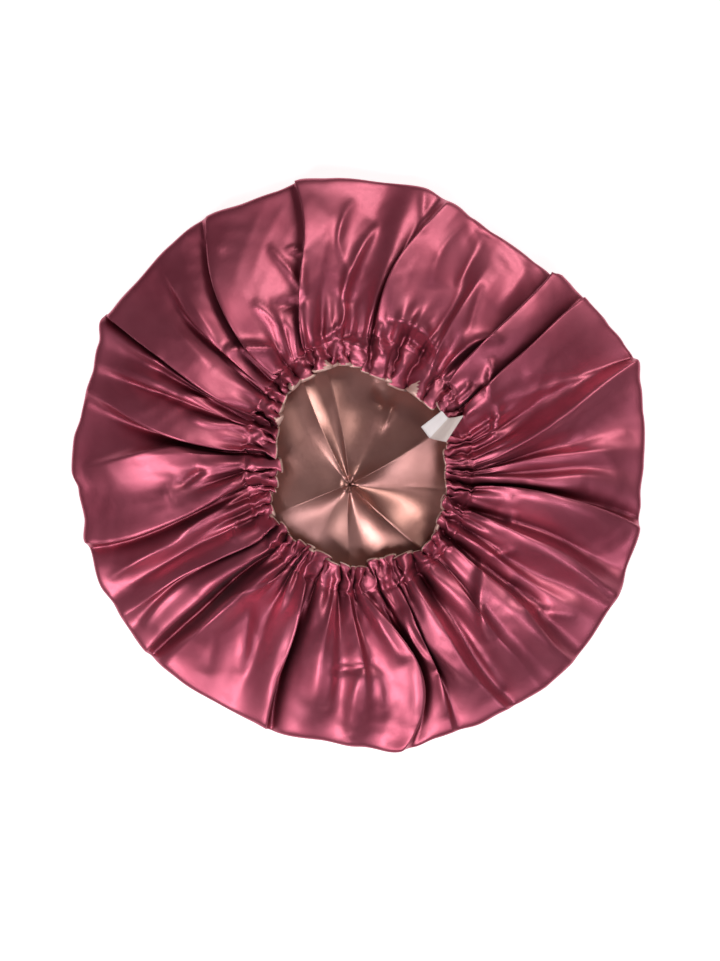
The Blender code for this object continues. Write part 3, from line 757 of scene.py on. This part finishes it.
def rose_material():
    satin = bpy.context.scene.bonnet_satin
    tint = (1.0, 0.72, 0.78, 1.0)
    return satin_material("rose_satin_finish", satin.rose, satin.rose_deep, 0.435, 0.80, 0.22, tint)


def champagne_material():
    lining = bpy.context.scene.bonnet_lining
    colours = (lining.champagne, lining.champagne_deep)
    return satin_material("champagne_satin_finish", *colours, 0.33, 0.80, 0.08, (1.0, 0.88, 0.82, 1.0))


def edge_material():
    """The lining where it shows at the casing's free edge, in a lighter copy of the champagne satin that
    paints a highlight where the edge turns to the light.
    """
    colours = ((0.78, 0.54, 0.46), (0.66, 0.42, 0.35))
    return satin_material("champagne_edge_finish", *colours, 0.45, 0.35, 0.0, (1.0, 0.88, 0.82, 1.0))


def plain_material(name, colour, roughness):
    material, tree, shader = new_material(name)
    fill(tree, shader, {"Base Color": (*colour, 1.0), "Roughness": roughness})
    return material


def tape_material(name, colour):
    material = plain_material(name, colour, 0.7)
    tree = material.node_tree
    threads = add_node(tree, "ShaderNodeGroup", {}, node_tree=tape_group())
    add_relief(tree, threads.outputs["Height"], 0.4, 0.0002)
    return material


def rib_material():
    """White knitted elastic with ribs across it."""
    material = plain_material("white_rib_finish", (0.80, 0.79, 0.76), 0.75)
    tree = material.node_tree
    place = add_node(tree, "ShaderNodeTexCoord", {})
    lines = {"Vector": place.outputs["Object"], "Scale": 260.0, "Distortion": 0.4}
    ribs = add_node(tree, "ShaderNodeTexWave", lines, wave_type="RINGS", rings_direction="Z")
    add_relief(tree, ribs.outputs["Fac"], 0.6, 0.0004)
    return material


def lining_columns():
    """The lines of the lining from the pucker outwards: two angles and a share of the creases' height."""
    columns = []
    for number, fold in enumerate(LINING_FOLDS):
        before = LINING_FOLDS[number - 1]
        back = 360.0 if number == 0 else 0.0
        trough = np.array([before.trough_near, before.trough_far]) - back
        crest = np.array([fold.crest_near, fold.crest_far])
        after = np.array([fold.trough_near, fold.trough_far])
        rising = max(8, round(float((crest - trough).max()) * 0.9))
        falling = max(6, round(float((after - crest).max()) * 0.9))
        for step in range(rising):
            u = step / rising
            columns.append((*blend(trough, crest, u), blend(before.trough, fold.crest, u**1.6)))
        for step in range(falling):
            u = step / falling
            columns.append((*blend(crest, after, u), blend(fold.trough, fold.crest, (1.0 - u) ** 1.6)))
    return np.array(columns).T


def lining_grid():
    """The lining from the pucker out over the crown, up the rim and back to the casing."""
    satin = bpy.context.scene.bonnet_satin
    lining = bpy.context.scene.bonnet_lining
    near, far, share = lining_columns()
    px, py = lining.pucker
    crown_share = 0.86
    crown_out = 0.90
    rows = []
    steps = 44
    for step in range(1, steps + 1):
        t = step / steps
        angle = np.radians(blend(near, far, min(1.0, t * 2.2)))
        reach = satin.rim_radius * crown_share * t
        x, y = px * (1.0 - t) + reach * np.cos(angle), py * (1.0 - t) + reach * np.sin(angle)
        swell = max(0.0, 1.0 - t / crown_out) ** 0.8
        pressed = 0.88 * share + 0.12 * np.clip(share, 0.0, 1.0) ** 7
        pressed = blend(0.42, pressed, 1.0 - math.exp(-t / 0.07))
        height = lining.crease_height * pressed * swell + 0.0020 * math.exp(-((t / 0.04) ** 2))
        calm = min(1.0, t / 0.3) ** 2
        height = height + 0.0014 * calm * swell * ripple(angle, t * 9.0, 21, (2, 9), 2.0)
        height = height + crease_lift(LINING_CREASES, x, y) + 0.0024
        rows.append(np.stack([x, y, LINING_FLOOR + np.maximum(height, 0.0)], -1))
    last = rows[-1]
    heading = np.arctan2(last[:, 1], last[:, 0])
    ease = 0.0085
    rim = rim_at(np.degrees(heading)) - ease
    seat = seat_radius(heading)
    for inward, rise in ((0.064, 0.03), (0.042, 0.14), (0.018, 0.30)):
        out = rim * (1.0 - inward)
        z = LINING_FLOOR + (satin.loft * RINGS[0].rise) * rise * np.ones(out.shape)
        rows.append(spun(out, heading, z))
    for place in rows_between((3, 3, 4, 4, 4, 4)):
        along, rise, fold = (float(smooth_column(RINGS, name, place)) for name in Ring._fields[:3])
        out = blend(rim, seat, along)
        ease_in = min(1.0, along / 0.12)
        droop = 0.0056 * fold * (1.0 + np.sin(52.0 * heading + 2.0 * np.sin(3.0 * heading)))
        rows.append(spun(out, heading, satin.loft * rise - 0.0060 * fold - 0.0016 - droop * ease_in))
    return np.array(rows), (px, py, LINING_FLOOR + 0.0035)


class BONNET_OT_lining(bpy.types.Operator):
    """Build the lining with its pressed creases"""

    bl_idname = "bonnet.lining"
    bl_label = "Lining"

    def execute(self, context):
        grid, centre = lining_grid()
        obj = grid_object("lining_satin", grid, centre=centre)
        faces_outward(obj, (0.0, 0.0, 1.0))
        thicken(obj, context.scene.bonnet_satin.cloth, -1.0)
        obj.data.materials.append(champagne_material())
        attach(obj, BODY)
        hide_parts("lining")
        return {"FINISHED"}


# One row for each line along the casing, from the stitch line over the elastic to the free edge and back
# under: its share of the way, its height over the stitch line in millimetres, and its share of the
# gathers' depth.
Strand = namedtuple("Strand", "along lift gather")
STRANDS = [
    Strand(*row)
    for row in (
        (0, 0, 1), (0.06, 0.2, 1), (0.13, 0.6, 1), (0.22, 1.1, 1.05), (0.32, 1.6, 1.1), (0.43, 2, 1.1),
        (0.54, 2.2, 1.1), (0.65, 2.2, 1.1), (0.75, 2, 1.05), (0.84, 1.8, 1), (0.91, 1.6, 1),
        (0.96, 1.3, 0.95), (1, 0.9, 0.9), (0.99, -0.1, 0.8), (0.92, -1.8, 0.4), (0.7, -4.2, 0.1),
        (0.42, -4.8, 0), (0.15, -4, 0),
    )
]


def casing_grid(columns):
    """The gathered casing on the same columns of cloth as the slope that it closes."""
    satin = bpy.context.scene.bonnet_satin
    angle = np.radians(columns.angle_seat)
    slope, edge = gather_at(angle, *SLOPE_GATHERS), gather_at(angle, *EDGE_GATHERS)
    base = stitch_height(columns)
    seat, mouth = seat_radius(angle), mouth_radius(angle)
    rows = []
    for number, strand in enumerate(STRANDS):
        small = mixed(slope, edge, float(np.clip((strand.along - 0.45) / 0.5, 0.0, 1.0)))
        late = max(0.0, strand.along - 0.35) / 0.65
        out = blend(seat, mouth, strand.along) - 0.0060 * (small.ridge - 0.45) * late
        top = max(0.0, strand.gather)
        lift = crease_lift(CREASES, out * np.cos(angle), out * np.sin(angle))
        calm = np.exp(-np.abs(lift) / CALMING_LIFT)
        z = base + strand.lift / 1000.0 + satin.gather_depth * strand.gather * (small.ridge - 0.35) * calm
        z = z + top * lift
        z = z + 0.0004 * top * ripple(angle, number * 0.9, 13, (25, 80), 2.4)
        aside = 0.0042 * small.lean * small.ridge * top - 0.0019 * small.curl * late**2
        aside = aside + 0.0007 * top * ripple(angle, number * 0.7, 17, (12, 50), 2.4)
        rows.append(spun(out, angle + aside / out, z))
    return np.array(rows)


# Rings of the satin under the rim, from the crown's middle outwards: how far each lies in from the rim,
# and its height as a share of the rim's.
CROWN_SHARES = ((0.62, 0), (0.34, 0), (0.18, 0), (0.1, 0), (0.06, 0.05), (0.032, 0.22), (0.01, 0.55))

# How many rows of the casing lie on its top, and the rows of its tube that turn under at the free edge and
# show the lining's satin, in its lighter copy that paints a highlight there.
CASING_TOP = 13
CASING_EDGE = (12, 16)


def satin_cloth():
    """The crown, slope and casing, wrinkled as one cloth, and the row where the casing starts."""
    slope = shell_grid()
    under = crown_rows(slope[0], CROWN_SHARES, 0.0)
    casing = casing_grid(pleat_columns())
    grid = np.concatenate([under, slope[:-1], casing])
    first_free = len(under)
    casing_row = first_free + len(slope) - 1
    # The crown stays, the rim and the stitch line give a little, and the casing's underside stays.
    hold = np.zeros(grid.shape[:2])
    hold[:first_free] = 1.0
    hold[first_free : first_free + 8] = np.linspace(0.9, 0.1, 8)[:, None]
    hold[casing_row - 1 : casing_row + 1] = 0.3
    hold[casing_row + 11 : casing_row + 14] = 0.3
    hold[casing_row + 14] = 0.6
    hold[casing_row + 15 :] = 1.0
    # The satin has more and more cloth to spare towards the stitch line.
    growth = np.zeros(grid.shape[:2])
    way_in = np.linspace(0.0, 1.0, casing_row - first_free)[:, None]
    growth[first_free:casing_row] = 0.02 + 0.34 * way_in**4
    growth[casing_row:] = 0.14
    moved = gathered(grid, hold, growth, rounds=160, limit=0.0070)
    top = slice(casing_row, casing_row + CASING_TOP)
    moved[top, :, 2] = np.maximum(moved[top, :, 2], grid[top, :, 2] - 0.0008)
    out = np.hypot(moved[..., 0], moved[..., 1])
    angle = np.arctan2(moved[..., 1], moved[..., 0])
    moved[..., :2] *= np.minimum(1.0, rim_at(np.degrees(angle)) / out)[..., None]
    moved[..., 2] = np.maximum(moved[..., 2], 0.0)
    return moved, casing_row


class BONNET_OT_satin(bpy.types.Operator):
    """Build the outer satin and the gathered casing that closes it"""

    bl_idname = "bonnet.satin"
    bl_label = "Satin and Casing"

    def execute(self, context):
        grid, casing_row = satin_cloth()
        shell = self.add_shell(context, grid[: casing_row + 2])
        casing = self.add_casing(context, grid[casing_row - 1 :])
        return {"FINISHED"}

    def add_shell(self, context, grid):
        """The crown and the slope, whose last ring goes a little under the casing."""
        grid = grid.copy()
        grid[-1, :, 2] -= TUCK
        obj = grid_object("outer_satin", grid, centre=(0.0, 0.0, 0.0))
        faces_outward(obj, (0.0, 0.0, 1.0))
        thicken(obj, context.scene.bonnet_satin.cloth, -1.0)
        obj.data.materials.append(rose_material())
        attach(obj, BODY)
        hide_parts("outer_shell")
        return obj

    def add_casing(self, context, grid):
        """The casing's tube, which starts a little under the slope."""
        grid = grid.copy()
        grid[0, :, 2] -= TUCK
        rows, columns = grid.shape[:2]
        index = np.arange(rows * columns).reshape(rows, columns)
        after = np.roll(index, -1, 1)
        below, below_after = np.roll(index, -1, 0), np.roll(after, -1, 0)
        faces = np.stack([index, after, below_after, below], -1).reshape(-1, 4)
        # The free edge's rows and the turned places take the lighter edge satin: the real lining, with a
        # painted highlight.
        slots = np.zeros((rows, columns), int)
        slots[slice(*CASING_EDGE)] = 1
        turn = np.degrees(np.arctan2(grid[..., 1], grid[..., 0]))
        along = np.array([0.0] + [strand.along for strand in STRANDS])[:, None]
        for place in TURNS:
            aside = np.abs(np.mod(turn - place.angle + 180.0, 360.0) - 180.0) / place.half
            shown = blend(place.along, 1.0, aside)
            slots[:CASING_TOP][((aside < 1.0) & (along > shown))[:CASING_TOP]] = 1
        obj = mesh_object("gathered_casing", grid.reshape(-1, 3).tolist(), faces.tolist(), slots.ravel())
        faces_outward(obj, (0.0, 0.0, 1.0))
        obj.data.materials.append(rose_material())
        obj.data.materials.append(edge_material())
        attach(obj, BODY)
        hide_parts("elastic_casing")
        return obj


# The elastic's cross-section inside the casing: shares of the way across it, and heights in millimetres.
BAND_CORNERS = ((0.36, -4.0), (0.66, -3.8), (0.66, -3.2), (0.36, -3.4))


class BONNET_OT_elastic(bpy.types.Operator):
    """Build the ribbed elastic that gathers the casing"""

    bl_idname = "bonnet.elastic"
    bl_label = "Elastic"

    def execute(self, context):
        columns = pleat_columns()
        angle = np.radians(columns.angle_seat)
        base = stitch_height(columns)
        seat, mouth = seat_radius(angle), mouth_radius(angle)
        corners = []
        for along, lift in BAND_CORNERS:
            corners.append(spun(blend(seat, mouth, along), angle, base + lift / 1000.0))
        corners.append(corners[0])
        obj = grid_object("ribbed_elastic", np.array(corners))
        obj.data.materials.append(rib_material())
        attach(obj, BODY)
        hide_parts("elastic_band")
        return {"FINISHED"}


# The label is a tape folded lengthwise and left ajar like a book. One row for each line along it, from
# the outer edge of its upper leaf over the fold to the outer edge of its lower leaf: where the line
# starts, at the tape's loose end, and where it ends, at the casing, in pixels of the photograph, and its
# two heights in millimetres.
Line = namedtuple("Line", "x_a y_a x_b y_b low high")
LABEL_LINES = [
    Line(421, 427, 442, 411, 31.5, 37.6),
    Line(424.5, 431.5, 444, 413.5, 29.6, 36.2),
    Line(428, 436.5, 446.5, 416.5, 28, 35.2),
    Line(429.6, 438.2, 448.5, 418, 27.8, 35.2),
    Line(434, 439.4, 452.5, 417.6, 30.2, 38.6),
    Line(440, 440.8, 458, 416.6, 33.4, 41),
    Line(446, 442, 463.5, 415.5, 36.4, 43.2),
]


def on_plan(x, y, height):
    """The point at a height that the camera sees at a pixel of the photograph."""
    nearer = (CAMERA_HEIGHT - height) / (CAMERA_HEIGHT - RIM_HEIGHT)
    return (
        MIDDLE_X + (x - PHOTO_MIDDLE[0]) * PIXEL * nearer,
        MIDDLE_Y - (y - PHOTO_MIDDLE[1]) * PIXEL * nearer,
        height,
    )


class BONNET_OT_label(bpy.types.Operator):
    """Build the folded bare label"""

    bl_idname = "bonnet.label"
    bl_label = "Label"

    def execute(self, context):
        steps = 14
        points = []
        for step in range(steps + 1):
            t = step / steps
            for line in LABEL_LINES:
                sag = 0.8 * math.sin(math.pi * t) ** 1.5
                height = (blend(line.low, line.high, t) - sag) / 1000.0
                points.append(on_plan(blend(line.x_a, line.x_b, t), blend(line.y_a, line.y_b, t), height))
        wide = len(LABEL_LINES)
        upper_leaf = 3
        faces = []
        slots = []
        for step in range(steps):
            for number in range(wide - 1):
                corner = step * wide + number
                faces.append((corner, corner + 1, corner + 1 + wide, corner + wide))
                slots.append(0 if number < upper_leaf else 1)
        obj = mesh_object("folded_label", points, faces, slots)
        obj.data.materials.append(tape_material("white_tape_finish", (0.86, 0.84, 0.81)))
        # Painted shade: the lower leaf takes a darker beige copy of the white tape, standing in for its
        # shade.
        obj.data.materials.append(tape_material("tape_shaded_leaf_finish", (0.70, 0.62, 0.56)))
        faces_outward(obj, (0.04, 0.02, 1.0))
        thicken(obj, 0.0004, -1.0)
        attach(obj, BODY)
        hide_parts("care_label")
        return {"FINISHED"}


class BONNET_OT_stage(bpy.types.Operator):
    """Build the floor, the lights and the camera"""

    bl_idname = "bonnet.stage"
    bl_label = "Stage"

    def execute(self, context):
        scene = context.scene
        half = 3.0
        corners = [(-half, -half, 0.0), (half, -half, 0.0), (half, half, 0.0), (-half, half, 0.0)]
        floor = mesh_object("floor", corners, [(0, 1, 2, 3)])
        floor.location.z = -0.0004
        paper = plain_material("floor_paper", (0.60, 0.60, 0.60), 0.9)
        glow = {"Emission Color": (1.0, 1.0, 1.0, 1.0), "Emission Strength": 0.75}
        fill(paper.node_tree, paper.node_tree.nodes["Principled BSDF"], glow)
        floor.data.materials.append(paper)
        self.add_camera(scene)
        self.add_light("window", (0.62, 0.74, 1.15), 0.50, 7.6, (1.0, 0.97, 0.95))
        self.add_light("ceiling", (-0.52, -0.66, 1.20), 0.50, 11.4, (0.98, 0.93, 0.97))
        self.add_light("side", (0.44, -0.62, 1.25), 0.45, 3.8, (0.95, 0.90, 1.0))
        world = bpy.data.worlds.new("room")
        scene.world = world
        world.use_nodes = True
        backdrop = {"Color": (1.0, 0.45, 0.50, 1.0), "Strength": 0.04}
        fill(world.node_tree, world.node_tree.nodes["Background"], backdrop)
        scene.view_settings.view_transform = "Standard"
        return {"FINISHED"}

    def add_camera(self, scene):
        """The camera looks straight down, and sees the rim at the photograph's scale."""
        data = bpy.data.cameras.new("camera")
        data.sensor_fit = "HORIZONTAL"
        data.sensor_width = 36.0
        data.lens = 36.0 * (CAMERA_HEIGHT - RIM_HEIGHT) / (PHOTO_WIDTH * PIXEL)
        scene.camera = linked("camera", data)
        scene.camera.location = (MIDDLE_X, MIDDLE_Y, CAMERA_HEIGHT)

    def add_light(self, name, place, width, power, colour):
        """A square light at a place, turned towards the bonnet."""
        data = bpy.data.lights.new(name, "AREA")
        data.size = width
        data.energy = power
        data.color = colour
        light = linked(name, data)
        light.location = place
        light.rotation_euler = (-Vector(place)).to_track_quat("-Z", "Y").to_euler()


class BONNET_PT_panel(bpy.types.Panel):
    bl_idname = "BONNET_PT_panel"
    bl_label = "Sleep Bonnet"
    bl_space_type = "VIEW_3D"
    bl_region_type = "UI"
    bl_category = "Bonnet"

    def draw(self, context):
        layout = self.layout
        for group in ("bonnet_satin", "bonnet_lining", "bonnet_casing"):
            settings = getattr(context.scene, group)
            box = layout.box()
            for name in settings.__annotations__:
                box.prop(settings, name)
        for operator in OPERATORS:
            layout.operator(operator.bl_idname)


SETTINGS = (
    ("bonnet_satin", SatinSettings),
    ("bonnet_lining", LiningSettings),
    ("bonnet_casing", CasingSettings),
)
OPERATORS = (BONNET_OT_satin, BONNET_OT_elastic, BONNET_OT_lining, BONNET_OT_label, BONNET_OT_stage)


def register():
    for name, settings in SETTINGS:
        bpy.utils.register_class(settings)
        setattr(bpy.types.Scene, name, PointerProperty(type=settings))
    for operator in OPERATORS:
        bpy.utils.register_class(operator)
    bpy.utils.register_class(BONNET_PT_panel)


def unregister():
    bpy.utils.unregister_class(BONNET_PT_panel)
    for operator in reversed(OPERATORS):
        bpy.utils.unregister_class(operator)
    for name, settings in reversed(SETTINGS):
        delattr(bpy.types.Scene, name)
        bpy.utils.unregister_class(settings)


def main():
    register()
    for name in ("Cube", "Light", "Camera"):
        spare = bpy.data.objects.get(name)
        if spare:
            bpy.data.objects.remove(spare)
    bpy.ops.bonnet.satin()
    bpy.ops.bonnet.elastic()
    bpy.ops.bonnet.lining()
    bpy.ops.bonnet.label()
    bpy.ops.bonnet.stage()


if __name__ == "__main__":
    main()
